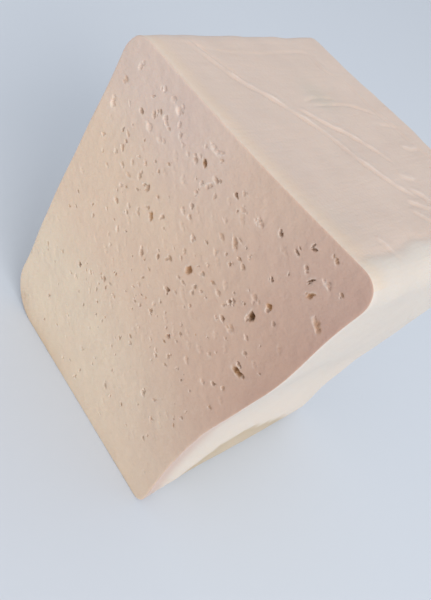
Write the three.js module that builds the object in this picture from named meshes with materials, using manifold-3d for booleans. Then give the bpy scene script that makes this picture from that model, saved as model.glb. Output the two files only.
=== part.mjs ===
import * as THREE from "three";
import { mergeVertices } from "three/addons/utils/BufferGeometryUtils.js";
import Module from "manifold-3d";

const { lerp, clamp, degToRad } = THREE.MathUtils;

// A piece cut from a pressed block of costeno cheese.
// Millimetres, +Z up, the knife-cut face looks to -Y, origin in the middle of the base.

// The block is laid out in a plain box: x from its left side, y from the cut face, z from the base.
const boxWidth = 160;
const boxDepth = 153;
const boxHeight = 196;

// Real corners of both ends: X of the four corners, height of each side, and how far the top leans inwards.
const cutFace = {
  bottomLeft: -75,
  bottomRight: 72.5,
  topLeft: -78.5,
  topRight: 80.5,
  leftHeight: 190.5,
  rightHeight: 203,
  lean: 8,
};
const backFace = {
  bottomLeft: -83.5,
  bottomRight: 80.5,
  topLeft: -84.6,
  topRight: 84.5,
  leftHeight: 191.5,
  rightHeight: 204,
  lean: 3.5,
};

// Radius of the edges that run from front to back, where they start at the cut and where they end.
const longEdges = {
  topLeft: { cut: 13, back: 5 },
  topRight: { cut: 12.5, back: 16 },
  bottomLeft: { cut: 27, back: 16 },
  bottomRight: { cut: 6, back: 8 },
};
const cutEdgeRadius = 0.8;
const backEdgeRadius = 5;

// The right side spreads at its foot, draws in above it and swells again higher up, less so at the back.
const swells = [
  { height: 0, reach: 36, size: 7 },
  { height: 80, reach: 22, size: -1.8 },
  { height: 141, reach: 28, size: 3 },
];
const swellAtBack = 0.4;

// The top is a little dished, and the sides wave gently.
const topDish = 2;
const wave = { size: 0.7, up: 21, along: 26 };

// Steps of the box's mesh: distances from an edge where it is rounded, and the number of steps between.
const edgeSteps = [0, cutEdgeRadius, 3, 6, 10, 16];
const backSteps = [0, 1.5, 3, backEdgeRadius];
const middleSteps = { width: 9, depth: 12, height: 12 };

// Folds of the press cloth, printed on the top as low ridges: how high each stands, and its places as [x, y].
const foldRadius = 3;
const folds = [
  { rise: 0.9, places: [[10, 29], [36, 38], [54, 54], [76, 68], [98, 74], [116, 82], [126, 92]] },
  { rise: 0.8, places: [[52, 60], [65, 68], [74, 75], [82, 87], [92, 94], [104, 101]] },
  { rise: 0.7, places: [[59, 78], [59, 95], [61, 112], [66, 124], [72, 134]] },
  { rise: 0.5, places: [[9, 10], [16, 45], [18, 73], [16, 105], [17, 124], [32, 125], [46, 139]] },
];
const foldSides = 8;
const foldStep = 7;

// The widest eyes of the cut face: place in the box, size of the opening, and turn to the left in degrees.
const wideEyes = [
  { x: 130, z: 145, width: 3.0, length: 5.6, tilt: 17 },
  { x: 133, z: 155, width: 2.8, length: 3.0, tilt: 79 },
  { x: 142, z: 173, width: 2.6, length: 3.6, tilt: -24 },
  { x: 144, z: 182, width: 2.6, length: 4.4, tilt: 54 },
  { x: 153, z: 166, width: 3.4, length: 6.4, tilt: 48 },
  { x: 144, z: 119, width: 3.0, length: 6.2, tilt: 72 },
  { x: 69, z: 178, width: 2.6, length: 4.0, tilt: 45 },
  { x: 90, z: 179, width: 2.2, length: 3.0, tilt: 69 },
  { x: 60, z: 136, width: 3.4, length: 4.2, tilt: 62 },
  { x: 50, z: 145, width: 3.0, length: 4.2, tilt: 11 },
  { x: 93, z: 134, width: 4.2, length: 5.2, tilt: 0 },
  { x: 92, z: 116, width: 2.8, length: 3.2, tilt: 84 },
  { x: 40, z: 73, width: 3.2, length: 3.6, tilt: 66 },
  { x: 103, z: 163, width: 2.6, length: 7.0, tilt: 47 },
];

// The other eyes are scattered, thickest in the upper middle of the face, and get smaller one by one.
const scatteredEyes = 34;
const eyeMargin = 9;
const eyeSpacing = 7;
const firstEye = { width: 3.0, length: 4.2 };
const lastEye = { width: 2.0, length: 2.8 };
const eyeMiddle = { x: 92, z: 128, reachX: 62, reachZ: 72 };
const eyeDepth = 0.55;
const eyeTilt = 55;
const eyeTiltSpread = 40;
const seed = 4711;

// Places along one side of the box, close together near both of its ends.
function stations(length, startSteps, endSteps, middleCount) {
  const first = startSteps.at(-1);
  const span = length - first - endSteps.at(-1);
  const middle = Array.from({ length: middleCount - 1 }, (_, i) => first + (span * (i + 1)) / middleCount);
  const end = endSteps.map((step) => length - step).reverse();
  return [...startSteps, ...middle, ...end];
}

// Rounds the corner of two sides: a square of this radius at the corner becomes a quarter disc.
// Both distances are measured inwards from the sides.
function drawIn(a, b, radius) {
  const da = radius - a;
  const db = radius - b;
  if (da <= 0 || db <= 0) return [a, b];
  const draw = Math.max(da, db) / Math.hypot(da, db);
  return [radius - da * draw, radius - db * draw];
}

// Rounds every edge of the plain box.
function roundBox(x, y, z) {
  const nearBack = y > boxDepth / 2;
  const margin = Math.min(x, boxWidth - x, z, boxHeight - z);
  const endRadius = nearBack ? backEdgeRadius : cutEdgeRadius;
  const [inset, fromEnd] = drawIn(margin, nearBack ? boxDepth - y : y, endRadius);
  const depth = nearBack ? boxDepth - fromEnd : fromEnd;
  const insetX = clamp(x, inset, boxWidth - inset);
  const insetZ = clamp(z, inset, boxHeight - inset);

  const right = x > boxWidth / 2;
  const top = z > boxHeight / 2;
  const edge = longEdges[(top ? "top" : "bottom") + (right ? "Right" : "Left")];
  const radius = lerp(edge.cut, edge.back, depth / boxDepth);
  const [fromSide, fromLevel] = drawIn(
    right ? boxWidth - insetX : insetX,
    top ? boxHeight - insetZ : insetZ,
    radius,
  );
  return [right ? boxWidth - fromSide : fromSide, depth, top ? boxHeight - fromLevel : fromLevel];
}

// A point of one end of the block, from its share of the width and of the height.
function onFace(face, across, up, y) {
  const left = lerp(face.bottomLeft, face.topLeft, up);
  const right = lerp(face.bottomRight, face.topRight, up);
  const height = lerp(face.leftHeight, face.rightHeight, across);
  return new THREE.Vector3(lerp(left, right, across), y, height * up);
}

// Carries a point of the rounded box to the real block, with its swelling side, dished top and gentle waves.
function toBlock(x, y, z) {
  const across = x / boxWidth;
  const back = y / boxDepth;
  const up = z / boxHeight;
  const onCut = onFace(cutFace, across, up, cutFace.lean * up - boxDepth / 2);
  const onBack = onFace(backFace, across, up, boxDepth / 2 - backFace.lean * up);
  const point = onCut.lerp(onBack, back);
  for (const { height, reach, size } of swells) {
    const near = Math.exp(-(((point.z - height) / reach) ** 2));
    point.x += size * lerp(1, swellAtBack, back) * near * across;
  }
  point.x += wave.size * (2 * across - 1) * Math.sin(point.z / wave.up + point.y / wave.along);
  point.z -= topDish * up * 4 * across * (1 - across) * (1 - back ** 4);
  return point;
}

// The block without its surface marks: a fine box whose points are moved to their real places.
function blockGeometry() {
  const acrossAt = stations(boxWidth, edgeSteps, edgeSteps, middleSteps.width);
  const depthAt = stations(boxDepth, [0, cutEdgeRadius], backSteps, middleSteps.depth);
  const heightAt = stations(boxHeight, edgeSteps, edgeSteps, middleSteps.height);
  const steps = [acrossAt, depthAt, heightAt].map((places) => places.length - 1);
  const geometry = new THREE.BoxGeometry(1, 1, 1, ...steps);
  const position = geometry.getAttribute("position");
  for (let i = 0; i < position.count; i++) {
    const x = acrossAt[Math.round((position.getX(i) + 0.5) * steps[0])];
    const y = depthAt[Math.round((position.getY(i) + 0.5) * steps[1])];
    const z = heightAt[Math.round((position.getZ(i) + 0.5) * steps[2])];
    const point = toBlock(...roundBox(x, y, z));
    position.setXYZ(i, point.x, point.y, point.z);
  }
  return geometry;
}

// One cloth fold: a tube sunk in the top, so that only its crest stands out, and sinking away at its ends.
function foldGeometry({ rise, places }) {
  const points = places.map(([x, y], i) => {
    const point = toBlock(x, y, boxHeight);
    const isEnd = i === 0 || i === places.length - 1;
    point.z += isEnd ? -2 * foldRadius : rise - foldRadius;
    return point;
  });
  const path = new THREE.CatmullRomCurve3(points);
  const section = new THREE.Shape().absarc(0, 0, foldRadius, 0, 2 * Math.PI);
  return new THREE.ExtrudeGeometry(section, {
    extrudePath: path,
    steps: Math.ceil(path.getLength() / foldStep),
    curveSegments: foldSides,
    bevelEnabled: false,
  });
}

// Repeatable random numbers from 0 to 1.
function randomFrom(start) {
  let state = start;
  return () => {
    state = (state * 16807) % 2147483647;
    return state / 2147483647;
  };
}

// All the eyes: the widest ones, then the scattered ones, each clear of those before it.
function eyePlaces() {
  const random = randomFrom(seed);
  const eyes = [...wideEyes];
  const total = wideEyes.length + scatteredEyes;
  while (eyes.length < total) {
    const x = lerp(eyeMargin, boxWidth - eyeMargin, random());
    const z = lerp(eyeMargin, boxHeight - eyeMargin, random());
    const awayX = (x - eyeMiddle.x) / eyeMiddle.reachX;
    const awayZ = (z - eyeMiddle.z) / eyeMiddle.reachZ;
    const wanted = Math.exp(-(awayX ** 2) - awayZ ** 2) > random();
    const clear = eyes.every((eye) => Math.hypot(eye.x - x, eye.z - z) > eyeSpacing);
    if (!wanted || !clear) continue;
    const rank = (eyes.length - wideEyes.length) / scatteredEyes;
    eyes.push({
      x,
      z,
      width: lerp(firstEye.width, lastEye.width, rank),
      length: lerp(firstEye.length, lastEye.length, rank),
      tilt: eyeTilt + eyeTiltSpread * (random() - 0.5),
    });
  }
  return eyes;
}

// One eye: an egg-shaped hollow centred on the cut surface, upright and then turned to the left.
function eyeGeometry({ x, z, width, length, tilt }) {
  const geometry = new THREE.IcosahedronGeometry(1, 1);
  geometry.scale(width / 2, width * eyeDepth, length / 2);
  geometry.rotateY(degToRad(-tilt));
  const place = toBlock(x, 0, z);
  return geometry.translate(place.x, place.y, place.z);
}

// Joins and cuts
const wasm = await Module();
wasm.setup();

function toSolid(geometry) {
  geometry.deleteAttribute("normal");
  geometry.deleteAttribute("uv");
  const merged = mergeVertices(geometry);
  const vertProperties = new Float32Array(merged.getAttribute("position").array);
  const triVerts = new Uint32Array(merged.getIndex().array);
  return new wasm.Manifold(new wasm.Mesh({ numProp: 3, vertProperties, triVerts }));
}

function toGeometry(solid) {
  const { vertProperties, triVerts } = solid.getMesh();
  const geometry = new THREE.BufferGeometry();
  geometry.setAttribute("position", new THREE.BufferAttribute(vertProperties, 3));
  geometry.setIndex(new THREE.BufferAttribute(triVerts, 1));
  geometry.computeVertexNormals();
  return geometry;
}

let cheese = toSolid(blockGeometry());
for (const fold of folds) cheese = cheese.add(toSolid(foldGeometry(fold)));
for (const eye of eyePlaces()) cheese = cheese.subtract(toSolid(eyeGeometry(eye)));

// The middle of the base becomes the origin.
const geometry = toGeometry(cheese);
geometry.computeBoundingBox();
const middle = geometry.boundingBox.getCenter(new THREE.Vector3());
geometry.translate(-middle.x, -middle.y, -geometry.boundingBox.min.z);

const curd = new THREE.MeshStandardMaterial({ color: 0xdcc8ba, roughness: 0.55, metalness: 0 });
const cheeseBlock = new THREE.Mesh(geometry, curd);
cheeseBlock.name = "cheese_block";

const group = new THREE.Group();
group.add(cheeseBlock);

export default group;
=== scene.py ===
import math

import bpy
import numpy as np
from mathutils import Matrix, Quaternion, Vector, noise
from mathutils.geometry import delaunay_2d_cdt


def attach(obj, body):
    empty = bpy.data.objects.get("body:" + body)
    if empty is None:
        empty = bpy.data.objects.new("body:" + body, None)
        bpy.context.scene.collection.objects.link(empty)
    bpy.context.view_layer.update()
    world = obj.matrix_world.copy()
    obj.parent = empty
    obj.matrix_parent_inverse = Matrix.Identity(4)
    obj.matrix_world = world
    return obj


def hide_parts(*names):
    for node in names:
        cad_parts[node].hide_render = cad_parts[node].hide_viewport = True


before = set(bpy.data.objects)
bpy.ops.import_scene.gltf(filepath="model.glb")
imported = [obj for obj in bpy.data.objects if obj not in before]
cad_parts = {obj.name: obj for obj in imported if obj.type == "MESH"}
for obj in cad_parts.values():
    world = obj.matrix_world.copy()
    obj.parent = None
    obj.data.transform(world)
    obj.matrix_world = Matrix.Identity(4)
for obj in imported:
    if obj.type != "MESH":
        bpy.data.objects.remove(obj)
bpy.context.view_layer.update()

# A piece cut from a pressed block of costeno cheese. Sizes are in millimetres, and metres in the mesh.
MM = 0.001

# The block is laid out in a plain box: x from its left side, y from the cut face, z from the base.
WIDTH, DEPTH, HEIGHT = 160.0, 153.0, 196.0
SIZES = (WIDTH, DEPTH, HEIGHT)

# Real corners of both ends: X of the corners, height of each side, and how far the top leans inwards.
CUT_FACE = {
    "bottom_left": -75.0,
    "bottom_right": 72.5,
    "top_left": -78.5,
    "top_right": 80.5,
    "left_height": 190.5,
    "right_height": 203.0,
    "lean": 8.0,
}
BACK_FACE = {
    "bottom_left": -83.5,
    "bottom_right": 80.5,
    "top_left": -84.6,
    "top_right": 84.5,
    "left_height": 191.5,
    "right_height": 204.0,
    "lean": 3.5,
}

# Radius of the edges that run from front to back, at the cut and at the back, by (is right, is top).
LONG_EDGES = {
    (False, True): (13.0, 5.0),
    (True, True): (12.5, 16.0),
    (False, False): (27.0, 16.0),
    (True, False): (6.0, 8.0),
}
CUT_EDGE_RADIUS = 0.8
BACK_EDGE_RADIUS = 5.0

# The right side spreads at its foot, draws in above it and swells again higher up, less so at the back.
SWELLS = (
    {"height": 0.0, "reach": 36.0, "size": 7.0},
    {"height": 80.0, "reach": 22.0, "size": -1.8},
    {"height": 141.0, "reach": 28.0, "size": 3.0},
)
SWELL_AT_BACK = 0.4
# The top is a little dished, and the sides wave gently.
TOP_DISH = 2.0
WAVE_SIZE, WAVE_UP, WAVE_ALONG = 0.7, 21.0, 26.0

# Mesh steps: along the box's edges, in rows beside them, and over each face, with a gap between rows and
# field that is a share of the field's step.
EDGE_STEP, FIELD_GAP = 1.4, 0.8
FINE_ROWS = (0.2, 0.45, 0.8, 1.4, 2.2, 3.2, 4.5, 6.0, 8.0, 10.0, 12.5)
PLAIN_ROWS = (0.8, 2.2, 4.5, 8.0, 12.5)
# Each face as its fixed axis, whether it is the high side, its step and its rows.
FACES = {
    "cut": (1, False, 1.6, FINE_ROWS),
    "top": (2, True, 1.3, FINE_ROWS),
    "right": (0, True, 1.9, FINE_ROWS),
    "left": (0, False, 2.6, PLAIN_ROWS),
    "back": (1, True, 2.6, PLAIN_ROWS),
    "base": (2, False, 5.0, PLAIN_ROWS),
}

# Folds of the press cloth, printed on each face as lapped creases: rise, width and places in that face's
# two axes, and the depth of the crease as a share of the rise. The curd rises to the left of a fold's way
# and sinks to its right.
FOLDS = {
    "top": (
        {
            "rise": 0.75, "width": 1.0, "crease": 1.0,
            "places": ((8, 25), (36, 37.5), (53, 53), (75.5, 67), (97.5, 73.5), (115, 81.5), (125, 91.5)),
        },
        {
            "rise": 0.7, "width": 0.85, "crease": 1.2,
            "places": ((57, 63), (64, 70), (73, 78), (78, 85), (91, 95), (104.5, 101)),
        },
        {
            "rise": 0.3, "width": 0.8, "crease": 2.4,
            "places": ((57, 78), (57, 95), (59, 112), (64, 124), (70, 134)),
        },
        {
            "rise": 0.3, "width": 1.0, "crease": 0.8,
            "places": ((9, 10), (16, 45), (18, 73), (16, 105), (17, 124), (32, 125), (46, 139)),
        },
        {"rise": 0.4, "width": 1.1, "crease": 0.6, "places": ((36, 134), (62, 133), (84, 136), (112, 140))},
        {"rise": 0.3, "width": 0.9, "crease": 1.8, "places": ((54, 74), (51, 90), (53, 106))},
        {"rise": 0.4, "width": 1.1, "crease": 2.2, "places": ((42, 42.5), (26, 34.5), (6, 25.5))},
        {"rise": 0.6, "width": 1.1, "crease": 0.6, "places": ((92, 122), (95, 129), (95, 138))},
        {"rise": 0.7, "width": 1.3, "crease": 0.6, "places": ((108, 92), (112, 97), (114, 103))},
        {"rise": 0.4, "width": 0.9, "crease": 0.6, "places": ((74, 122), (77, 130), (79, 140))},
        {"rise": 0.7, "width": 1.1, "crease": 0.8, "places": ((117, 88), (124, 94), (132, 95))},
        {"rise": 0.7, "width": 1.1, "crease": 0.8, "places": ((123, 76), (129, 85), (134, 92))},
        {"rise": 0.7, "width": 1.1, "crease": 0.8, "places": ((128, 72), (135, 77), (142, 79))},
        {"rise": 0.5, "width": 1.1, "crease": 0.6, "places": ((136, 26), (141, 28.5), (146, 30))},
    ),
    "right": (
        {
            "rise": 0.6, "width": 1.3, "crease": 0.8,
            "places": ((96, 152), (116, 136), (132, 130), (149, 116)),
        },
        {"rise": 0.5, "width": 1.1, "crease": 0.8, "places": ((112, 141), (128, 142), (148, 134))},
    ),
    "left": (
        {
            "rise": 0.8, "width": 1.3, "crease": 0.8,
            "places": ((6, 168), (40, 150), (78, 139), (112, 120), (148, 108)),
        },
        {"rise": 0.7, "width": 1.1, "crease": 0.9, "places": ((58, 146), (84, 145), (112, 133), (138, 130))},
        {"rise": 0.5, "width": 1.1, "crease": 0.8, "places": ((18, 62), (58, 70), (96, 65), (130, 74))},
        {"rise": 0.6, "width": 1.1, "crease": 0.8, "places": ((118, 92), (134, 84), (148, 83))},
    ),
    "back": (
        {
            "rise": 0.8, "width": 1.3, "crease": 0.8,
            "places": ((8, 150), (48, 128), (84, 117), (122, 92), (154, 84)),
        },
        {"rise": 0.7, "width": 1.1, "crease": 0.9, "places": ((66, 123), (92, 121), (118, 107), (142, 104))},
        {"rise": 0.5, "width": 1.1, "crease": 0.8, "places": ((22, 60), (60, 51), (96, 54), (132, 44))},
        {"rise": 0.6, "width": 1.1, "crease": 0.8, "places": ((10, 118), (22, 106), (30, 90))},
    ),
}
# Rows of mesh points beside a fold, the place of its crest, how far that falls off towards the crease and
# beyond, the width of its painted highlight line, and the place and width of its crease, all as shares of its
# width. So is the gap that other points keep from the rows. Then how near a face's border the rows may come,
# in millimetres.
FOLD_ROWS = (-3.6, -2.7, -1.9, -1.2, -0.6, 0.0, 0.7, 1.6, 2.8)
CREST_PLACE, CREST_STEEP, CREST_SOFT, CREST_LINE = 0.6, 1.3, 2.2, 0.5
CREASE_PLACE, CREASE_WIDTH = -1.9, 1.0
ROW_GAP, ROW_MARGIN = 0.8, 3.0
# A fold is printed unevenly: reach of its stronger and weaker stretches, and how much weaker they get.
FOLD_STRETCH, FOLD_WEAKER = 7.0, 0.65
# Share of a fold's length over which it rises at each end, and how far inside a face's border it is full.
FOLD_FADE, FOLD_MARGIN = 0.18, 6.0
# The flat of the top ends in a shallow groove before the round right edge. Its line waves by this much,
# over this reach.
LINE_WAVE, LINE_REACH = 4.0, 38.0
GROOVE_X, GROOVE_WIDTH, GROOVE_DEPTH = 143.0, 2.4, 0.55
# The knife drew up the rim of the top beside the cut: its rise on the left and right, how far down the cut
# it starts, and how far back it reaches.
RIM_RISE, RIM_DOWN, RIM_BACK = (0.9, 1.1), 12.0, 22.0
# One soft dent in the back left of the top, which is still damp.
DENT_PLACE, DENT_REACH, DENT_DEPTH = (52.0, 93.0), 11.0, 0.6
# Soft forms of the top between the folds, as place, reach and rise: one swelling and the dent.
TOP_FORMS = (
    ((130.0, 116.0), 9.0, 0.4),
    (DENT_PLACE, DENT_REACH, -DENT_DEPTH),
)
# Damp spots of the top, as place, reach and strength.
DAMP_SPOTS = (
    (DENT_PLACE, DENT_REACH, 1.0),
    ((128.0, 12.0), 15.0, 0.35),
)

# Whey has softened and stained the foot of the right side, so it lies slightly deeper, except at the base.
# Its height rises and drops between places behind the cut, and waves by these reaches and shares of it. It
# sets in between two places across the block. It is painted darkest along its upper border, as painted shade
# under the step, over this reach, and is stained by a share inside.
FOOT_TOP, FOOT_DEPTH, FOOT_STEP, FOOT_FADE = 42.0, 0.5, 16.0, 5.0
FOOT_STARTS, FOOT_DROPS, FOOT_ENDS = (8.0, 62.0), (70.0, 165.0), (110.0, 150.0)
FOOT_WAVES = ((34.0, 0.5), (11.0, 0.2), (5.0, 0.08))
SHADE_LINE_REACH, STAIN_INSIDE = 20.0, 0.7
# The base of the cut is tinted tan, fading upward, most of all on the left.
BASE_TAN_REACH, BASE_TAN_SPAN, BASE_TAN_ON_RIGHT = 6.0, (45.0, 85.0), 0.25

# Unevenness of pressed curd: reach and height of the lumps all over, of the drag of the knife on the cut,
# of the nicks beside the cut, and of the knobs along the other edges, which set in behind the cut. It fades
# out above the flat base, and the relief of the cut within its border.
LUMP_REACH, LUMP_HEIGHT = 26.0, 0.45
DRAG_REACH, DRAG_STRETCH, DRAG_HEIGHT = 5.0, 9.0, 0.07
NICK_REACH, NICK_HEIGHT, NICK_ROW = 5.0, 0.3, 2.5
KNOB_REACH, KNOB_HEIGHT, KNOB_ROW, KNOB_STARTS = 13.0, 0.6, 7.0, (4.0, 16.0)
BASE_FADE, CUT_MARGIN = 12.0, (0.8, 3.0)

# The cut is pinker and darker towards a place beyond its right edge: the pink is its own tone, the darkening
# is painted shade. It turns to another cream with height, and its crown is painted with cool light, though
# less so on the right.
BLUSH_SHADE_MIDDLE, BLUSH_SHADE_REACH = (225.0, 159.0), (119.0, 149.0)
HIGH_SPAN = (54.0, 102.0)
CROWN_SPAN, CROWN_ENDS, CROWN_ON_RIGHT = (135.0, 185.0), (45.0, 105.0), 0.25
# The cream of the top starts a little below it and ends on its right edge. The sides are warmer low down.
CREAM_DOWN, CREAM_ENDS = 10.0, (142.0, 148.0)
LOW_SPAN = (40.0, 115.0)
# Next to the cut the rind takes on its colour, fully low on the right and weakly on top: how far back that
# reaches, between which places it sets in across the block, between which heights it ends, and its strength
# on top.
FLESH_REACH, FLESH_STARTS, FLESH_ENDS, FLESH_ON_TOP = 11.0, (100.0, 150.0), (60.0, 130.0), 0.1
# Folds that rise more than this get a painted highlight along their crest, and the rind beside the cut gets a
# painted highlight too. On top a band from a little behind the cut is creamier and paler, partly its own
# cream and partly a painted highlight.
HIGHLIGHT_FROM, FOLD_HIGHLIGHT, EDGE_HIGHLIGHT, EDGE_HIGHLIGHT_REACH = 0.45, 0.4, 0.22, 4.0
EDGE_SHARE, EDGE_MIDDLE, EDGE_REACH = 0.32, 2.5, 6.5

# The widest eyes of the cut face: place in the box, size of the opening, turn to the left in degrees, depth
# as a share of the width, and how honey-coloured and how brown they are inside. The brown is partly staining
# and partly painted shade in the hollow.
WIDE_EYES = (
    {"x": 130, "z": 145, "width": 3.2, "length": 6.0, "tilt": 17, "depth": 0.9, "honey": 0.8, "brown": 1.0},
    {"x": 133, "z": 155, "width": 3.1, "length": 3.5, "tilt": 79, "depth": 0.5, "honey": 1.0, "brown": 0.2},
    {"x": 142, "z": 173, "width": 2.6, "length": 3.6, "tilt": -24, "depth": 0.4, "honey": 0.8, "brown": 0.05},
    {"x": 144, "z": 182, "width": 2.6, "length": 4.4, "tilt": 54, "depth": 0.4, "honey": 0.1, "brown": 0.0},
    {"x": 153, "z": 166, "width": 3.4, "length": 6.4, "tilt": 48, "depth": 0.35, "honey": 0.5, "brown": 0.0},
    {"x": 144, "z": 119, "width": 3.4, "length": 6.2, "tilt": 72, "depth": 0.8, "honey": 0.9, "brown": 0.6},
    {"x": 69, "z": 178, "width": 2.6, "length": 4.0, "tilt": 45, "depth": 0.8, "honey": 0.9, "brown": 0.6},
    {"x": 90, "z": 179, "width": 2.2, "length": 3.0, "tilt": 69, "depth": 0.7, "honey": 0.3, "brown": 0.5},
    {"x": 60, "z": 136, "width": 3.4, "length": 4.2, "tilt": 62, "depth": 0.4, "honey": 0.9, "brown": 0.0},
    {"x": 50, "z": 145, "width": 3.0, "length": 4.2, "tilt": 11, "depth": 0.5, "honey": 0.4, "brown": 0.2},
    {"x": 93, "z": 134, "width": 4.0, "length": 5.0, "tilt": 0, "depth": 0.5, "honey": 0.9, "brown": 0.15},
    {"x": 92, "z": 116, "width": 2.8, "length": 3.2, "tilt": 84, "depth": 0.7, "honey": 0.5, "brown": 0.5},
    {"x": 40, "z": 73, "width": 3.0, "length": 3.6, "tilt": 66, "depth": 0.8, "honey": 0.4, "brown": 0.6},
    {"x": 103, "z": 163, "width": 2.6, "length": 7.0, "tilt": 47, "depth": 0.4, "honey": 0.4, "brown": 0.1},
)
# Smaller eyes that still stand out: dark slits that lie another way, and open shallow bowls.
CLEAR_EYES = (
    {"x": 138, "z": 178, "width": 1.4, "length": 3.6, "tilt": -28, "depth": 1.0, "honey": 0.2, "brown": 0.8},
    {"x": 130, "z": 188, "width": 1.5, "length": 3.2, "tilt": -60, "depth": 0.9, "honey": 0.2, "brown": 0.6},
    {"x": 126, "z": 182, "width": 1.6, "length": 3.4, "tilt": 76, "depth": 0.9, "honey": 0.2, "brown": 0.6},
    {"x": 139, "z": 191, "width": 1.6, "length": 3.2, "tilt": 53, "depth": 0.6, "honey": 0.5, "brown": 0.2},
    {"x": 118, "z": 141, "width": 2.3, "length": 2.6, "tilt": 81, "depth": 0.7, "honey": 0.2, "brown": 0.4},
    {"x": 121, "z": 132, "width": 2.5, "length": 3.5, "tilt": 63, "depth": 0.6, "honey": 0.3, "brown": 0.3},
    {"x": 109, "z": 97, "width": 2.6, "length": 3.0, "tilt": -78, "depth": 0.6, "honey": 0.2, "brown": 0.3},
    {"x": 77, "z": 172, "width": 2.4, "length": 4.6, "tilt": -32, "depth": 0.4, "honey": 0.1, "brown": 0.0},
    {"x": 44, "z": 185, "width": 3.4, "length": 4.4, "tilt": 48, "depth": 0.4, "honey": 0.0, "brown": 0.0},
    {"x": 34, "z": 168, "width": 3.6, "length": 4.8, "tilt": 52, "depth": 0.3, "honey": 0.0, "brown": 0.0},
    {"x": 70, "z": 186, "width": 2.8, "length": 5.6, "tilt": 84, "depth": 0.35, "honey": 0.0, "brown": 0.0},
    {"x": 8, "z": 160, "width": 3.8, "length": 4.4, "tilt": 65, "depth": 0.35, "honey": 0.0, "brown": 0.0},
    {"x": 116, "z": 182, "width": 2.0, "length": 2.8, "tilt": 67, "depth": 0.8, "honey": 0.3, "brown": 0.5},
    {"x": 126, "z": 165, "width": 1.6, "length": 2.8, "tilt": 54, "depth": 0.9, "honey": 0.2, "brown": 0.5},
    {"x": 142, "z": 103, "width": 2.2, "length": 2.8, "tilt": 66, "depth": 0.6, "honey": 0.2, "brown": 0.4},
    {"x": 106, "z": 179, "width": 2.8, "length": 4.8, "tilt": 55, "depth": 0.35, "honey": 0.1, "brown": 0.0},
)
# The other eyes are scattered in runs from large to small: the large ones, the open shallow ones that crowd
# the upper left, and the fine ones. Each run has its number, least spacing, chance to gather beside an
# earlier eye, first and last width and length, spread of the turns, middle and reach of the place it
# crowds, least and greatest depth as shares of the width, and its greatest honey and brown.
EYE_RUNS = (
    {
        "count": 34, "spacing": 7.0, "gather": 0.0,
        "width": (3.0, 2.0), "length": (4.2, 2.8), "spread": 40.0,
        "middle": (92.0, 128.0), "reach": (62.0, 72.0),
        "depth": (0.2, 0.55), "honey": 0.5, "brown": 0.4,
    },
    {
        "count": 30, "spacing": 4.0, "gather": 0.3,
        "width": (3.0, 1.5), "length": (3.8, 2.0), "spread": 110.0,
        "middle": (44.0, 168.0), "reach": (40.0, 30.0),
        "depth": (0.2, 0.45), "honey": 0.3, "brown": 0.2,
    },
    {
        "count": 170, "spacing": 3.0, "gather": 0.25,
        "width": (2.2, 0.9), "length": (3.0, 1.2), "spread": 110.0,
        "middle": (92.0, 110.0), "reach": (84.0, 100.0),
        "depth": (0.2, 0.5), "honey": 0.5, "brown": 0.4,
    },
)
# Shallow dimples between the eyes, drawn out by the knife, are scattered in the same way.
DIMPLES = {
    "count": 70, "spacing": 3.5, "gather": 0.0,
    "width": (3.0, 1.8), "length": (6.0, 3.4), "spread": 36.0,
    "middle": (92.0, 128.0), "reach": (66.0, 74.0),
    "depth": (0.06, 0.15), "honey": 0.1, "brown": 0.0,
}
# How far a gathered eye lies from an earlier one, how far scattered eyes keep from the cut's border, and
# their usual turn to the left in degrees.
GATHER_REACH, EYE_MARGIN, EYE_TILT = 5.0, 9.0, 55.0
# The knife dragged to the right, so each eye is deeper on that side, by a share between these, and left a
# torn lip on its left, at most this high. Its walls are softer or steeper by a power between these.
EYE_SKEW, EYE_LIP, EYE_WALL = (0.1, 0.9), 0.16, (1.6, 4.0)
# Zones of an eye, as shares of its radius: where its torn inside and its honey end and how softly, the place
# and width of its lip and of the painted highlight on its rim, and how softly these two set in on its left,
# the side the light falls on.
INSIDE_END, INSIDE_SOFT = 1.05, 0.6
HONEY_END, HONEY_SOFT = 1.35, 0.9
LIP_PLACE, LIP_WIDTH = 1.15, 0.25
HIGHLIGHT_PLACE, HIGHLIGHT_WIDTH = 0.95, 0.35
LEFT_SOFT = 0.8
# Eyes less deep than this share of their width are less torn, with weaker lips and weaker painted highlights
# on their rims. Those narrower than this are less torn inside.
TORN_FROM, TORN_WIDTH = 0.4, 3.0
# Smaller partners run into most eyes: the chance of each, its size, its distance as a share of the length,
# and how much it is turned.
PARTNERS, PARTNER_SIZE, PARTNER_AWAY, PARTNER_TURN = (0.6, 0.35), (0.35, 0.8), (0.35, 0.7), 30.0
# Lobes of an eye's uneven outline: how many times each goes round, and its greatest size.
EYE_LOBES = ((1, 0.12), (2, 0.18), (3, 0.11), (4, 0.12), (5, 0.1), (7, 0.06))
EYE_SEED, SHAPE_SEED = 4711, 11
# Mesh points in an eye: their spacing, the fewest and most rings, the fewest and most points round its
# outline, and the fewest in a ring. Then the rings round the outline, the gap that other points keep from
# the last one, and how far out of an earlier eye the rings of a later one begin, all as shares of the
# radius.
EYE_STEP, EYE_RING_COUNTS, OUTLINE_POINTS, RING_POINTS = 0.42, (3, 8), (8, 36), 6
EYE_OUTER_RINGS, EYE_GAP, EYE_OVERLAP = (1.0, 1.15, 1.4), 0.15, 1.1
# Torn curd inside the eyes: its reach and its height. Long eyes are run together from shorter ones, with
# waists of this share of their depth between.
TORN_REACH, TORN_HEIGHT, EYE_WAIST = 0.9, 0.45, 0.85


# The form of the block

def draw_in(a, b, radius, least=1e-9):
    """Rounds the corner of two sides: a square of this radius at the corner becomes a quarter disc."""
    da = radius - a
    db = radius - b
    reach = np.maximum(np.hypot(da, db), least)
    draw = np.where((da > 0) & (db > 0), np.maximum(da, db) / reach, 1.0)
    return radius - da * draw, radius - db * draw


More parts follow.
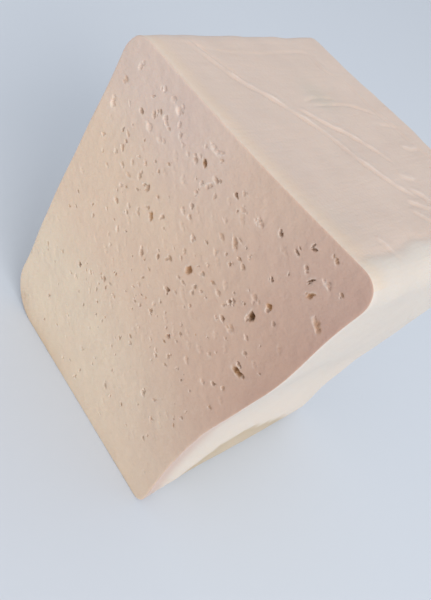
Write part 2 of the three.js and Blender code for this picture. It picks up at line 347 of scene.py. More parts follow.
def round_box(points):
    """Rounds every edge of the plain box."""
    x, y, z = points.T
    near_back = y > DEPTH / 2
    margin = np.minimum(np.minimum(x, WIDTH - x), np.minimum(z, HEIGHT - z))
    end_radius = np.where(near_back, BACK_EDGE_RADIUS, CUT_EDGE_RADIUS)
    inset, from_end = draw_in(margin, np.where(near_back, DEPTH - y, y), end_radius)
    depth = np.where(near_back, DEPTH - from_end, from_end)
    inset_x = np.clip(x, inset, WIDTH - inset)
    inset_z = np.clip(z, inset, HEIGHT - inset)

    right = x > WIDTH / 2
    top = z > HEIGHT / 2
    radius = np.zeros(len(points))
    for (is_right, is_top), (at_cut, at_back) in LONG_EDGES.items():
        here = (right == is_right) & (top == is_top)
        radius[here] = at_cut + (at_back - at_cut) * depth[here] / DEPTH
    from_side, from_level = draw_in(
        np.where(right, WIDTH - inset_x, inset_x),
        np.where(top, HEIGHT - inset_z, inset_z),
        radius,
    )
    new_x = np.where(right, WIDTH - from_side, from_side)
    new_z = np.where(top, HEIGHT - from_level, from_level)
    return np.stack([new_x, depth, new_z], axis=1)


def on_face(face, across, up):
    """X and Z on one end of the block, from shares of its width and height."""
    left = face["bottom_left"] + (face["top_left"] - face["bottom_left"]) * up
    right = face["bottom_right"] + (face["top_right"] - face["bottom_right"]) * up
    height = face["left_height"] + (face["right_height"] - face["left_height"]) * across
    return left + (right - left) * across, height * up


def to_block(points):
    """Carries points of the rounded box to the real block, with its swelling side, dished top and waves."""
    across, back, up = (points / SIZES).T
    cut_x, cut_z = on_face(CUT_FACE, across, up)
    back_x, back_z = on_face(BACK_FACE, across, up)
    cut_y = CUT_FACE["lean"] * up - DEPTH / 2
    back_y = DEPTH / 2 - BACK_FACE["lean"] * up
    x = cut_x + (back_x - cut_x) * back
    y = cut_y + (back_y - cut_y) * back
    z = cut_z + (back_z - cut_z) * back
    for swell in SWELLS:
        near = np.exp(-(((z - swell["height"]) / swell["reach"]) ** 2))
        x += swell["size"] * (1 + (SWELL_AT_BACK - 1) * back) * near * across
    x += WAVE_SIZE * (2 * across - 1) * np.sin(z / WAVE_UP + y / WAVE_ALONG)
    z -= TOP_DISH * up * 4 * across * (1 - across) * (1 - back**4)
    return np.stack([x, y, z], axis=1)


# The eyes of the cut face

def repeatable(state, factor=16807, modulus=2147483647):
    """Repeatable random numbers from 0 to 1."""
    while True:
        state = state * factor % modulus
        yield state / modulus


def eye_places():
    """All the eyes: placed ones, scattered ones clear of those before them, their partners, and dimples."""
    draw = repeatable(EYE_SEED)
    shape = np.random.default_rng(SHAPE_SEED)
    eyes = [dict(eye) for eye in WIDE_EYES]

    def is_clear(x, z, spacing):
        return all(math.hypot(eye["x"] - x, eye["z"] - z) > spacing for eye in eyes)

    def scatter(run):
        made = 0
        while made < run["count"]:
            x = EYE_MARGIN + (WIDTH - 2 * EYE_MARGIN) * next(draw)
            z = EYE_MARGIN + (HEIGHT - 2 * EYE_MARGIN) * next(draw)
            if shape.random() < run["gather"]:
                host = eyes[shape.integers(len(eyes))]
                x = np.clip(host["x"] + shape.normal(0, GATHER_REACH), EYE_MARGIN, WIDTH - EYE_MARGIN)
                z = np.clip(host["z"] + shape.normal(0, GATHER_REACH), EYE_MARGIN, HEIGHT - EYE_MARGIN)
            away_x = (x - run["middle"][0]) / run["reach"][0]
            away_z = (z - run["middle"][1]) / run["reach"][1]
            wanted = math.exp(-(away_x**2) - away_z**2) > next(draw)
            if not (wanted and is_clear(x, z, run["spacing"])):
                continue
            rank = made / run["count"]
            eyes.append({
                "x": x,
                "z": z,
                "width": run["width"][0] + (run["width"][1] - run["width"][0]) * rank,
                "length": run["length"][0] + (run["length"][1] - run["length"][0]) * rank,
                "tilt": EYE_TILT + run["spread"] * (next(draw) - 0.5),
                "depth": shape.uniform(*run["depth"]),
                "honey": run["honey"] * shape.random() ** 2,
                "brown": run["brown"] * shape.random(),
            })
            made += 1

    large, *smaller = EYE_RUNS
    scatter(large)
    eyes += [dict(eye) for eye in CLEAR_EYES]
    for run in smaller:
        scatter(run)
    partners = []
    for eye in eyes:
        for chance in PARTNERS:
            if shape.random() < chance:
                partners.append(partner_of(eye, shape))
    eyes += partners
    scatter(DIMPLES)
    for eye in eyes:
        eye["lobes"] = shape.uniform(-1, 1, len(EYE_LOBES)) * [size for turns, size in EYE_LOBES]
        eye["phases"] = shape.uniform(0, 2 * math.pi, len(EYE_LOBES))
        eye["skew"] = shape.uniform(*EYE_SKEW)
        eye["torn"] = min(eye["depth"] / TORN_FROM, 1)
        eye["lip"] = EYE_LIP * eye["torn"] * shape.random()
        eye["wall"] = shape.uniform(*EYE_WALL)
    return eyes


def partner_of(eye, shape):
    """A smaller eye that runs into this one."""
    size = shape.uniform(*PARTNER_SIZE)
    away = shape.uniform(*PARTNER_AWAY) * eye["length"]
    way = shape.uniform(0, 2 * math.pi)
    return {
        **eye,
        "x": eye["x"] + away * math.cos(way),
        "z": eye["z"] + away * math.sin(way),
        "width": size * eye["width"],
        "length": size * eye["length"],
        "tilt": eye["tilt"] + shape.normal(0, PARTNER_TURN),
        "honey": eye["honey"] * shape.random(),
        "brown": eye["brown"] * shape.random(),
    }


def eye_radius(eye, angle):
    """Uneven outline of an eye: share of its plain ellipse at each angle."""
    share = np.ones_like(angle)
    for lobe, phase, (turns, _) in zip(eye["lobes"], eye["phases"], EYE_LOBES):
        share += lobe * np.sin(turns * angle + phase)
    return share


def in_eye(eye, x, z):
    """How far points lie from an eye's middle, to its right and along it, as shares of its radius there."""
    tilt = math.radians(eye["tilt"])
    dx = x - eye["x"]
    dz = z - eye["z"]
    side = (dx * math.cos(tilt) + dz * math.sin(tilt)) / (eye["width"] / 2)
    along = (-dx * math.sin(tilt) + dz * math.cos(tilt)) / (eye["length"] / 2)
    outline = eye_radius(eye, np.arctan2(along, side))
    return np.hypot(side, along) / outline, side / outline, along / outline


def eye_points(eye):
    """Rings of mesh points in and round one eye."""
    tilt = math.radians(eye["tilt"])
    inner = int(np.clip(eye["width"] / 2 / EYE_STEP, *EYE_RING_COUNTS))
    around = math.pi * (eye["width"] + eye["length"]) / 2
    count = int(np.clip(around / EYE_STEP, *OUTLINE_POINTS))
    rings = [[[eye["x"], eye["z"]]]]
    for number, ring in enumerate((*np.arange(1, inner) / inner, *EYE_OUTER_RINGS)):
        count_here = max(RING_POINTS, round(count * min(ring, 1)))
        angle = np.linspace(0, 2 * math.pi, count_here, endpoint=False) + math.pi / count * (number % 2)
        share = ring * eye_radius(eye, angle)
        side = share * np.cos(angle) * eye["width"] / 2
        along = share * np.sin(angle) * eye["length"] / 2
        x = eye["x"] + side * math.cos(tilt) - along * math.sin(tilt)
        z = eye["z"] + side * math.sin(tilt) + along * math.cos(tilt)
        rings.append(np.stack([x, z], axis=1))
    return np.concatenate(rings)


# The mesh of the plain box

def face_layout(size_a, size_b, step, rows):
    """Points of one face: its border, rows that follow the border, and an even field between."""
    points = []
    count_a = round(size_a / EDGE_STEP) + 1
    count_b = round(size_b / EDGE_STEP) + 1
    for row in (0.0, *rows):
        along_a = np.linspace(row, size_a - row, count_a)
        along_b = np.linspace(row, size_b - row, count_b)[1:-1]
        for b in (row, size_b - row):
            points.append(np.stack([along_a, np.full(count_a, b)], axis=1))
        for a in (row, size_a - row):
            points.append(np.stack([np.full(count_b - 2, a), along_b], axis=1))
    inset = rows[-1] + FIELD_GAP * step
    triangle_height = step * math.sqrt(0.75)
    field_a, field_b = np.meshgrid(
        np.arange(inset, size_a - inset - step / 2, step),
        np.arange(inset, size_b - inset, triangle_height),
    )
    field_a[1::2] += step / 2
    points.append(np.stack([field_a.ravel(), field_b.ravel()], axis=1))
    return np.concatenate(points)


def with_eyes(points, eyes):
    """The cut face's points, with rings of points in place of those that an eye takes."""
    clear = np.ones(len(points), bool)
    for eye in eyes:
        clear &= in_eye(eye, *points.T)[0] > EYE_OUTER_RINGS[-1] + EYE_GAP
    points = points[clear]
    for number, eye in enumerate(eyes):
        rings = eye_points(eye)
        for earlier in eyes[:number]:
            away = math.hypot(earlier["x"] - eye["x"], earlier["z"] - eye["z"])
            if away < earlier["length"] + eye["length"]:
                rings = rings[in_eye(earlier, *rings.T)[0] > EYE_OVERLAP]
        points = np.concatenate([points, rings])
    return points


def with_folds(points, folds):
    """A face's points, with rows of points along each fold in place of those near it."""
    size = points.max(axis=0)
    clear = np.ones(len(points), bool)
    rows = []
    for fold in folds:
        line = smooth_path(fold["places"])
        ahead = np.gradient(line, axis=0)
        pace = np.linalg.norm(ahead, axis=1)
        aside = np.stack([-ahead[:, 1], ahead[:, 0]], axis=1) / pace[:, None]
        away = np.hypot(*(points[:, None] - line).transpose(2, 0, 1)).min(axis=1)
        clear &= away > fold["width"] * (FOLD_ROWS[-1] + ROW_GAP)
        gone = np.cumsum(pace) // fold["width"]
        kept = np.flatnonzero(np.diff(gone, prepend=-1) > 0)
        rows += [line[kept] + aside[kept] * fold["width"] * row for row in FOLD_ROWS]
    rows = np.concatenate(rows)
    inside = ((rows > ROW_MARGIN) & (rows < size - ROW_MARGIN)).all(axis=1)
    border = (points < ROW_MARGIN).any(axis=1) | (points > size - ROW_MARGIN).any(axis=1)
    return np.concatenate([points[clear | border], rows[inside]])


def triangles_between(points, nearest=1e-6):
    """Triangles that fill a flat face between its points, all turned the same way."""
    result = delaunay_2d_cdt([Vector(p) for p in points], [], [], 0, nearest)
    corners = np.array([v[:] for v in result[0]])
    triangles = np.array(result[2])
    a, b, c = (corners[triangles[:, i]] for i in range(3))
    turn = (b[:, 0] - a[:, 0]) * (c[:, 1] - a[:, 1]) - (b[:, 1] - a[:, 1]) * (c[:, 0] - a[:, 0])
    triangles[turn < 0] = triangles[turn < 0][:, ::-1]
    return corners, triangles


def box_mesh(eyes):
    """Points and triangles of the whole box, and for each triangle its face's name."""
    all_points, all_triangles, all_faces = [], [], []
    start = 0
    for name, (axis, high, step, rows) in FACES.items():
        a, b = (i for i in range(3) if i != axis)
        layout = face_layout(SIZES[a], SIZES[b], step, rows)
        if name == "cut":
            layout = with_eyes(layout, eyes)
        if name in FOLDS:
            layout = with_folds(layout, FOLDS[name])
        corners, triangles = triangles_between(layout)
        points = np.empty((len(corners), 3))
        points[:, axis] = SIZES[axis] if high else 0.0
        points[:, a], points[:, b] = corners.T
        outward = high if axis != 1 else not high
        all_points.append(points)
        all_triangles.append((triangles if outward else triangles[:, ::-1]) + start)
        all_faces += [name] * len(triangles)
        start += len(points)
    # Faces that meet have the same points along their edge, and rounding lets these merge.
    points, merged = np.unique(np.round(np.concatenate(all_points), 4), axis=0, return_inverse=True)
    return points, merged.ravel()[np.concatenate(all_triangles)], np.array(all_faces)


def normals_of(points, triangles):
    """Outward direction at each point."""
    a, b, c = (points[triangles[:, i]] for i in range(3))
    across = np.cross(b - a, c - a)
    normals = np.zeros_like(points)
    for i in range(3):
        np.add.at(normals, triangles[:, i], across)
    return normals / np.linalg.norm(normals, axis=1, keepdims=True)


# Relief

def smooth(value, low, high):
    """0 below low, 1 above high and a soft step between."""
    share = np.clip((value - low) / (high - low), 0, 1)
    return share * share * (3 - 2 * share)


def lumps(points, reach):
    """Soft noise from -1 to 1 with lumps of this reach."""
    return np.array([noise.noise(Vector(p)) for p in points / reach])


def smooth_path(places, per_span=24):
    """A smooth line through a few places."""
    known = np.array(places, float)
    known = np.concatenate([[2 * known[0] - known[1]], known, [2 * known[-1] - known[-2]]])
    share = np.linspace(0, 1, per_span, endpoint=False)[:, None]
    line = []
    for before, a, b, after in zip(known, known[1:], known[2:], known[3:]):
        bend = (2 * before - 5 * a + 4 * b - after) * share**2 + (3 * a - before - 3 * b + after) * share**3
        line.append(a + 0.5 * ((b - before) * share + bend))
    return np.concatenate(line)


def fold_relief(folds, a, b):
    """Heights of the cloth folds on one face, and the painted highlight lines of their crests."""
    height, crests = np.zeros((2, len(a)))
    for fold in folds:
        line = smooth_path(fold["places"])
        ahead = np.gradient(line, axis=0)
        dx, dy = a[:, None] - line[:, 0], b[:, None] - line[:, 1]
        nearest = np.hypot(dx, dy).argmin(axis=1)
        each = np.arange(len(a))
        left = ahead[nearest, 0] * dy[each, nearest] - ahead[nearest, 1] * dx[each, nearest] > 0
        away = np.hypot(dx, dy)[each, nearest] * np.where(left, 1, -1) / fold["width"]
        from_crest = away - CREST_PLACE
        ridge = np.exp(-((from_crest / np.where(from_crest > 0, CREST_SOFT, CREST_STEEP)) ** 2))
        crease = fold["crease"] * np.exp(-(((away - CREASE_PLACE) / CREASE_WIDTH) ** 2))
        along = nearest / (len(line) - 1)
        ends = smooth(along, 0, FOLD_FADE) * smooth(1 - along, 0, FOLD_FADE)
        stretches = lumps(np.column_stack([line, np.zeros(len(line))]), FOLD_STRETCH)[nearest]
        print_share = ends * (1 - FOLD_WEAKER * (0.5 + stretches))
        height += fold["rise"] * (ridge - crease) * print_share
        # A painted highlight line along the crest of the higher folds.
        if fold["rise"] > HIGHLIGHT_FROM:
            crests = np.maximum(crests, np.exp(-((away / CREST_LINE) ** 2)) * print_share)
    return height, crests


def waved(x, y):
    """x shifted along y, so that a line from front to back waves a little."""
    return x + LINE_WAVE * lumps(np.column_stack([y, y, y]), LINE_REACH)


def top_relief(x, y):
    """Groove and soft forms of the top, as heights."""
    height = -GROOVE_DEPTH * np.exp(-(((waved(x, y) - GROOVE_X) / GROOVE_WIDTH) ** 2))
    for (form_x, form_y), reach, rise in TOP_FORMS:
        height += rise * np.exp(-((np.hypot(x - form_x, y - form_y) / reach) ** 2))
    return height


def rim_relief(x, y, z):
    """How far the rim of the top beside the cut stands up."""
    rise = RIM_RISE[0] + (RIM_RISE[1] - RIM_RISE[0]) * x / WIDTH
    return rise * smooth(z, HEIGHT - RIM_DOWN, HEIGHT) * np.exp(-((y / RIM_BACK) ** 2))


def foot_share(box):
    """How much each point belongs to the softened foot of the right side, and how strongly it is stained,
    with painted shade along its upper border.
    """
    x, y, z = box.T
    waves = 1 + sum(size * lumps(box, reach) for reach, size in FOOT_WAVES)
    height = FOOT_TOP * smooth(y, *FOOT_STARTS) * (1 - smooth(y, *FOOT_DROPS)) * waves
    share = smooth(height - z, 0, FOOT_STEP) * smooth(x, *FOOT_ENDS)
    # Painted shade along the upper border of the foot, under the step.
    border = np.exp(-(((height - z) / SHADE_LINE_REACH) ** 2))
    return share, share * (STAIN_INSIDE + (1 - STAIN_INSIDE) * border)


def eye_relief(x, z, eyes):
    """Depth of the eyes, as heights below the cut face, with their honey, their brown, which is partly
    painted shade, and the painted highlights on their rims.
    """
    height, lip, torn, honey, brown, pale = np.zeros((6, len(x)))
    for eye in eyes:
        near = np.hypot(x - eye["x"], z - eye["z"]) < eye["length"] + eye["width"]
        share, side, along = in_eye(eye, x[near], z[near])
        bowl = np.clip(1 - share ** eye["wall"], 0, None) * (1 + eye["skew"] * np.clip(side, -1, 1))
        beads = round(eye["length"] / eye["width"])
        if beads > 1:
            bowl *= 1 - EYE_WAIST * (0.5 - 0.5 * np.cos(math.pi * (beads * (along + 1) - 1)))
        height[near] = np.minimum(height[near], -eye["depth"] * eye["width"] * bowl)
        within = smooth(INSIDE_END - share, 0, INSIDE_SOFT)
        on_left = smooth(-side, 0, LEFT_SOFT)
        torn[near] = np.maximum(torn[near], within * eye["torn"] * min(eye["width"] / TORN_WIDTH, 1))
        lip_here = eye["lip"] * np.exp(-(((share - LIP_PLACE) / LIP_WIDTH) ** 2)) * on_left
        lip[near] = np.maximum(lip[near], lip_here)
        honey[near] = np.maximum(honey[near], eye["honey"] * smooth(HONEY_END - share, 0, HONEY_SOFT))
        # Brown inside the hollow: partly staining, partly painted shade.
        brown[near] = np.maximum(brown[near], eye["brown"] * within)
        # A painted highlight on the left of the rim, where the light falls.
        lit_rim = np.exp(-(((share - HIGHLIGHT_PLACE) / HIGHLIGHT_WIDTH) ** 2)) * on_left
        pale[near] = np.maximum(pale[near], lit_rim * eye["torn"])
    rough = TORN_HEIGHT * lumps(np.column_stack([x, z, np.zeros(len(x))]), TORN_REACH)
    height += np.where(height < 0, rough * torn, lip)
    return height, {"honey": honey, "brown": brown, "pale": pale, "torn": torn}


def drag_relief(x, z):
    """Long shallow marks where the knife dragged through the curd."""
    tilt = math.radians(EYE_TILT)
    side = x * math.cos(tilt) + z * math.sin(tilt)
    along = (-x * math.sin(tilt) + z * math.cos(tilt)) / DRAG_STRETCH
    return DRAG_HEIGHT * lumps(np.stack([side, along, np.zeros(len(x))], axis=1), DRAG_REACH)


def from_border(a, b):
    """How far points of one face lie from its border."""
    return np.minimum(np.minimum(a, a.max() - a), np.minimum(b, b.max() - b))


def pressed_relief(box, points, on, foot):
    """Heights of all relief but that of the cut, and the painted highlight lines of the folds."""
    x, y, z = box.T
    off_base = smooth(z, 0, BASE_FADE)
    height = LUMP_HEIGHT * lumps(points, LUMP_REACH) * off_base
    near_cut = np.exp(-((y / NICK_ROW) ** 2)) * ~on["cut"]
    height += NICK_HEIGHT * near_cut * lumps(points, NICK_REACH) * off_base
    to_faces = np.stack([np.minimum(x, WIDTH - x), DEPTH - y, np.minimum(z, HEIGHT - z)])
    to_edge = np.sort(to_faces, axis=0)[1]
    near_edge = np.exp(-((to_edge / KNOB_ROW) ** 2)) * smooth(y, *KNOB_STARTS)
    height += KNOB_HEIGHT * near_edge * lumps(points, KNOB_REACH) * off_base
    height -= FOOT_DEPTH * foot * smooth(z, 0, FOOT_FADE) * ~on["cut"]
    highlight_lines = np.zeros(len(box))
    for name, folds in FOLDS.items():
        here = on[name]
        a, b = (box[here, axis] for axis in range(3) if axis != FACES[name][0])
        relief, highlight_lines[here] = fold_relief(folds, a, b)
        if name == "top":
            relief = relief + top_relief(a, b)
        height[here] += relief * smooth(from_border(a, b), 0, FOLD_MARGIN)
    return height, highlight_lines


def colour_guides(box, on, stain_and_shade, highlight_lines):
    """Shares that guide the colours over the block, all but those of the eyes."""
    x, y, z = box.T
    blush_shade_x = (x - BLUSH_SHADE_MIDDLE[0]) / BLUSH_SHADE_REACH[0]
    blush_shade_z = (z - BLUSH_SHADE_MIDDLE[1]) / BLUSH_SHADE_REACH[1]
    damp = sum(
        strength * np.exp(-((np.hypot(x - spot_x, y - spot_y) / reach) ** 2))
        for (spot_x, spot_y), reach, strength in DAMP_SPOTS
    )
    low_right = (1 - smooth(z, *FLESH_ENDS)) * smooth(x, *FLESH_STARTS)
    flesh = np.maximum(low_right, FLESH_ON_TOP * on["top"])
    # A painted highlight on the rind beside the cut.
    edge_highlight = EDGE_HIGHLIGHT * np.exp(-((y / EDGE_HIGHLIGHT_REACH) ** 2)) * ~on["cut"]
    return {
        # A pinker tone and painted shade, darker towards the right of the cut.
        "blush_and_shade": np.exp(-(blush_shade_x**2) - blush_shade_z**2),
        "high": smooth(z, *HIGH_SPAN),
        "low": 1 - smooth(z, *LOW_SPAN),
        # Painted cool light on the upper cut, weaker on the right.
        "crown": smooth(z, *CROWN_SPAN) * (1 - (1 - CROWN_ON_RIGHT) * smooth(x, *CROWN_ENDS)),
        "cream": smooth(z, HEIGHT - CREAM_DOWN, HEIGHT) * (1 - smooth(waved(x, y), *CREAM_ENDS)),
        "foot": stain_and_shade,
        "base_tan": np.exp(-z / BASE_TAN_REACH) * (1 - (1 - BASE_TAN_ON_RIGHT) * smooth(x, *BASE_TAN_SPAN)),
        "flesh": flesh * np.exp(-((y / FLESH_REACH) ** 2)),
        "damp": damp * on["top"],
        # Partly cream, partly a painted highlight, on the top beside the cut.
        "edge": EDGE_SHARE * np.exp(-(((y - EDGE_MIDDLE) / EDGE_REACH) ** 2)) * on["top"],
        # Painted highlights on the fold crests and on the rind beside the cut.
        "pale": highlight_lines * FOLD_HIGHLIGHT + edge_highlight,
    }


def cheese_mesh():
    """The whole block as one mesh, with its colour guides."""
    eyes = eye_places()
    box, triangles, faces = box_mesh(eyes)
    x, y, z = box.T
    on = {name: box[:, axis] == (SIZES[axis] if high else 0) for name, (axis, high, *_) in FACES.items()}
    points = to_block(round_box(box))
    points[:, 2] += rim_relief(x, y, z)
    normals = normals_of(points, triangles)
    foot, stain_and_shade = foot_share(box)
    height, highlight_lines = pressed_relief(box, points, on, foot)
    guides = colour_guides(box, on, stain_and_shade, highlight_lines)

    cut = on["cut"]
    cut_x, cut_z = x[cut], z[cut]
    hollow, eye_guides = eye_relief(cut_x, cut_z, eyes)
    height[cut] += (hollow + drag_relief(cut_x, cut_z)) * smooth(from_border(cut_x, cut_z), *CUT_MARGIN)
    for name, values in eye_guides.items():
        guides.setdefault(name, np.zeros(len(box)))[cut] = values

    middle = (points.min(axis=0) + points.max(axis=0)) / 2
    points = points + normals * height[:, None]
    points[:, :2] -= middle[:2]
    mesh = bpy.data.meshes.new("cheese_block_curd")
    mesh.from_pydata(points * MM, [], triangles.tolist())
    for name, values in guides.items():
        mesh.attributes.new(name, "FLOAT", "POINT").data.foreach_set("value", values.astype(np.float32))
    mesh.polygons.foreach_set("material_index", (faces != "cut").astype(np.int32))
    mesh.polygons.foreach_set("use_smooth", np.ones(len(triangles), bool))
    mesh.update()
    return mesh


# Materials

def linear(hex_colour):
    """An sRGB hex colour as linear red, green, blue and alpha."""
    shares = [int(hex_colour[i:i + 2], 16) / 255 for i in (1, 3, 5)]
    return (*[s / 12.92 if s <= 0.04045 else ((s + 0.055) / 1.055) ** 2.4 for s in shares], 1.0)


def add(tree, kind, inputs=None, **settings):
    """Adds one node with its settings, and fills its inputs with values or links."""
    node = tree.nodes.new(kind)
    for name, value in settings.items():
        setattr(node, name, value)
    for name, value in (inputs or {}).items():
        if isinstance(value, bpy.types.NodeSocket):
            tree.links.new(value, node.inputs[name])
        else:
            node.inputs[name].default_value = value
    return node


# Places of a colour mix's share, first colour, second colour and result among its sockets.
SHARE, FIRST, SECOND, RESULT = 0, 6, 7, 2

# Sizes of the patterns in millimetres. The real grain of the curd is too fine to show at this distance, so
# it is drawn as coarse as it needs to show.
CUT_CLOUDS, CUT_CURDS, CUT_GRAIN = 18.0, 5.0, 1.1
RIND_CLOUDS, RIND_STREAKS, RIND_GRAIN = 22.0, 3.0, 1.6
# The streaks run from front to back, ten times as long as wide.
STREAK_SCALE = (1.0, 0.1, 1.0)
# How far the clouds shift the pink tone and painted shade of the cut, the strength of its grain, and how much
# torn eyes add to that.
CLOUD_SHIFT, GRAIN_STRENGTH, GRAIN_TORN = 0.22, 0.5, 0.4

# Guides of the cut in the order they are painted, each with its strength and colour.
CUT_PAINT = (
    # Painted cool light on the crown of the cut.
    ("crown", 0.22, "#cbbbc9"),
    ("base_tan", 0.42, "#b98d5f"),
    # Painted highlights on the lit rims of the eyes.
    ("pale", 0.4, "#fbeee0"),
    ("honey", 0.9, "#bb8854"),
    # Brown in the eyes: partly staining, partly painted shade in their hollows.
    ("brown", 1.0, "#6a4218"),
)
# The same for the rind.
RIND_PAINT = (
    ("low", 0.35, "#efdcc8"),
    ("flesh", 1.0, "#c9ab9a"),
    # Tan staining of the foot, with painted shade along its upper border.
    ("foot", 0.9, "#b9a17b"),
    ("damp", 0.5, "#bfb4a2"),
    # Partly cream, partly a painted highlight, on the top beside the cut.
    ("edge", 1.0, "#e6c9a2"),
    # Painted highlights on the fold crests and on the rind beside the cut.
    ("pale", 1.0, "#e8dcd3"),
)


def new_material(name):
    """An empty node material and its tree."""
    material = bpy.data.materials.new(name)
    material.use_nodes = True
    material.node_tree.nodes.clear()
    return material, material.node_tree


def painted(tree, colour, paints):
    """Lays the colour of each guide over those before it."""
    for guide, strength, shade in paints:
        share = add(tree, "ShaderNodeAttribute", attribute_name=guide).outputs["Fac"]
        part = add(tree, "ShaderNodeMath", {0: share, 1: strength}, operation="MULTIPLY").outputs[0]
        layers = {SHARE: part, FIRST: colour, SECOND: linear(shade)}
        colour = add(tree, "ShaderNodeMix", layers, data_type="RGBA").outputs[RESULT]
    return colour


def moist_surface(tree, colour, roughness, normal):
    """Ends a material as moist curd, which lets light a little way in."""
    surface = add(tree, "ShaderNodeBsdfPrincipled", {
        "Base Color": colour,
        "Roughness": roughness,
        "IOR": 1.45,
        "Subsurface Weight": 0.2,
        "Subsurface Radius": (1.0, 0.7, 0.5),
        "Subsurface Scale": 0.8 * MM,
        "Normal": normal,
    })
    add(tree, "ShaderNodeOutputMaterial", {"Surface": surface.outputs["BSDF"]})


def cut_curd():
    """Knife-cut fresh curd: matt, moist, cream turning pinker and darker to the right, where the darkening is
    painted shade; brown in the eyes, partly stained and partly painted shade; painted cool light high up and
    painted highlights on the eyes' rims.
    """
    material, tree = new_material("cut_curd")
    place = add(tree, "ShaderNodeTexCoord").outputs["Object"]
    blush_and_shade = add(tree, "ShaderNodeAttribute", attribute_name="blush_and_shade").outputs["Fac"]
    clouds, curds, grain = (
        add(tree, "ShaderNodeTexNoise", {"Vector": place, "Scale": 1 / (size * MM), "Detail": detail})
        for size, detail in ((CUT_CLOUDS, 3.0), (CUT_CURDS, 3.0), (CUT_GRAIN, 4.0))
    )

    drift = add(tree, "ShaderNodeMath", {0: clouds.outputs["Fac"], 1: 0.5}, operation="SUBTRACT")
    tint = add(
        tree, "ShaderNodeMath",
        {0: drift.outputs[0], 1: CLOUD_SHIFT, 2: blush_and_shade},
        operation="MULTIPLY_ADD",
    )
    high = add(tree, "ShaderNodeAttribute", attribute_name="high").outputs["Fac"]
    cream = add(
        tree, "ShaderNodeMix",
        {SHARE: high, FIRST: linear("#eed7bb"), SECOND: linear("#ebceb2")},
        data_type="RGBA",
    )
    # The pink tone laid on here is also painted shade: the cut darkens towards its right.
    base = add(
        tree, "ShaderNodeMix",
        {SHARE: tint.outputs[0], FIRST: cream.outputs[RESULT], SECOND: linear("#b68a78")},
        data_type="RGBA",
    )
    colour = painted(tree, base.outputs[RESULT], CUT_PAINT)
    uneven = add(tree, "ShaderNodeBump", {
        "Height": curds.outputs["Fac"],
        "Strength": 0.5,
        "Distance": 1.3 * MM,
    })
    torn = add(tree, "ShaderNodeAttribute", attribute_name="torn").outputs["Fac"]
    rough = add(
        tree, "ShaderNodeMath",
        {0: torn, 1: GRAIN_TORN, 2: GRAIN_STRENGTH},
        operation="MULTIPLY_ADD",
    )
    bump = add(tree, "ShaderNodeBump", {
        "Height": grain.outputs["Fac"],
        "Strength": rough.outputs[0],
        "Distance": 0.35 * MM,
        "Normal": uneven.outputs["Normal"],
    })
    moist_surface(tree, colour, roughness=0.5, normal=bump.outputs["Normal"])
    return material


def pressed_rind():
    """Thin skin of pressed curd: off-white and satin on the sides, creamier on top, with faint streaks."""
    material, tree = new_material("pressed_rind")
    place = add(tree, "ShaderNodeTexCoord").outputs["Object"]
    cream = add(tree, "ShaderNodeAttribute", attribute_name="cream").outputs["Fac"]
    clouds, grain = (
        add(tree, "ShaderNodeTexNoise", {"Vector": place, "Scale": 1 / (size * MM), "Detail": 4.0})
        for size in (RIND_CLOUDS, RIND_GRAIN)
    )

    side = add(
        tree, "ShaderNodeMix",
        {SHARE: clouds.outputs["Fac"], FIRST: linear("#ddd0c1"), SECOND: linear("#d1c5b8")},
        data_type="RGBA",
    )
    top = add(
        tree, "ShaderNodeMix",
        {SHARE: clouds.outputs["Fac"], FIRST: linear("#dcc5b3"), SECOND: linear("#ccb5a4")},
        data_type="RGBA",
    )
    both = add(
        tree, "ShaderNodeMix",
        {SHARE: cream, FIRST: side.outputs[RESULT], SECOND: top.outputs[RESULT]},
        data_type="RGBA",
    )
    colour = painted(tree, both.outputs[RESULT], RIND_PAINT)
    along = add(tree, "ShaderNodeMapping", {"Vector": place, "Scale": STREAK_SCALE})
    streaks = add(tree, "ShaderNodeTexNoise", {
        "Vector": along.outputs["Vector"],
        "Scale": 1 / (RIND_STREAKS * MM),
        "Detail": 3.0,
    })
    uneven = add(tree, "ShaderNodeBump", {
        "Height": clouds.outputs["Fac"],
        "Strength": 0.3,
        "Distance": 2 * MM,
    })
    drawn = add(tree, "ShaderNodeBump", {
        "Height": streaks.outputs["Fac"],
        "Strength": 0.6,
        "Distance": 0.5 * MM,
        "Normal": uneven.outputs["Normal"],
    })
    bump = add(tree, "ShaderNodeBump", {
        "Height": grain.outputs["Fac"],
        "Strength": 0.4,
        "Distance": 0.35 * MM,
        "Normal": drawn.outputs["Normal"],
    })
    moist_surface(tree, colour, roughness=0.45, normal=bump.outputs["Normal"])
    return material


def pale_floor():
    """A smooth matt sheet in pale blue grey, for the stage."""
    material, tree = new_material("pale_floor")
    surface = add(tree, "ShaderNodeBsdfPrincipled", {"Base Color": linear("#cfd3d8"), "Roughness": 0.7})
    add(tree, "ShaderNodeOutputMaterial", {"Surface": surface.outputs["BSDF"]})
    return material


# The piece

cheese = bpy.data.objects.new("cheese_piece", cheese_mesh())
bpy.context.scene.collection.objects.link(cheese)
cheese.data.materials.append(cut_curd())
cheese.data.materials.append(pressed_rind())
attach(cheese, "root")
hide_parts("cheese_block")


# Stage, light and camera

# Width of the floor in metres.
FLOOR_SIZE = 8.0
# A soft window light: what it is aimed at, its direction from there, distance and size in metres, power in
# watts and colour. The rest of the light comes evenly from the sky.
BLOCK_MIDDLE, WINDOW_WAY = Vector((0, 0, 100)) * MM, Vector((0.75, -0.32, 0.58))
WINDOW_DISTANCE, WINDOW_SIZE, WINDOW_POWER, WINDOW_COLOUR = 2.5, 1.4, 30.0, "#ffffff"
SKY_COLOUR, SKY_STRENGTH = "#e6ecf5", 0.93
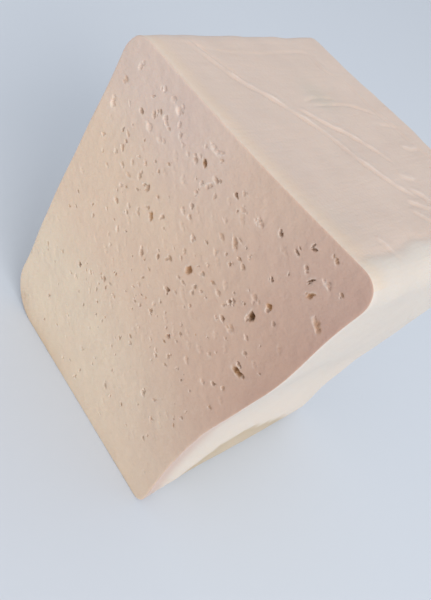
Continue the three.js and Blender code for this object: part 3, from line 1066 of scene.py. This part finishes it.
# Where the photo was taken from, what it is aimed at, and how far the picture is turned, in degrees.
CAMERA_PLACE = Vector((105.3, -253.8, 313.0)) * MM
CAMERA_AIM = Vector((18.4, -30.9, 98.0)) * MM
CAMERA_ROLL = 39.9
# The long side of the picture is as wide as the sensor.
SENSOR, LENS = 36.0, 36.0


def make_floor():
    """The floor of the stage, level with the base of the block."""
    half = FLOOR_SIZE / 2
    mesh = bpy.data.meshes.new("floor_sheet")
    corners = [(-half, -half, 0), (half, -half, 0), (half, half, 0), (-half, half, 0)]
    mesh.from_pydata(corners, [], [(0, 1, 2, 3)])
    mesh.materials.append(pale_floor())
    floor = bpy.data.objects.new("floor", mesh)
    bpy.context.scene.collection.objects.link(floor)


def make_window():
    """The window light, turned towards the block."""
    light = bpy.data.lights.new("window", "AREA")
    light.size = WINDOW_SIZE
    light.energy = WINDOW_POWER
    light.color = linear(WINDOW_COLOUR)[:3]
    lamp = bpy.data.objects.new("window", light)
    away = WINDOW_WAY.normalized()
    lamp.location = BLOCK_MIDDLE + away * WINDOW_DISTANCE
    lamp.rotation_mode = "QUATERNION"
    lamp.rotation_quaternion = (-away).to_track_quat("-Z", "Y")
    bpy.context.scene.collection.objects.link(lamp)


def make_sky():
    """Even light from all round."""
    world = bpy.data.worlds.new("studio")
    world.use_nodes = True
    background = world.node_tree.nodes["Background"]
    background.inputs["Color"].default_value = linear(SKY_COLOUR)
    background.inputs["Strength"].default_value = SKY_STRENGTH
    bpy.context.scene.world = world


def make_camera():
    """The camera, turned about its aim as it was held for the photo."""
    lens = bpy.data.cameras.new("photo_view")
    lens.sensor_width = SENSOR
    lens.lens = LENS
    lens.clip_start = 0.01
    camera = bpy.data.objects.new("photo_view", lens)
    camera.location = CAMERA_PLACE
    camera.rotation_mode = "QUATERNION"
    level = (CAMERA_AIM - CAMERA_PLACE).to_track_quat("-Z", "Y")
    camera.rotation_quaternion = level @ Quaternion((0, 0, 1), math.radians(CAMERA_ROLL))
    bpy.context.scene.collection.objects.link(camera)
    bpy.context.scene.camera = camera


make_floor()
make_window()
make_sky()
make_camera()
bpy.context.scene.view_settings.view_transform = "Standard"
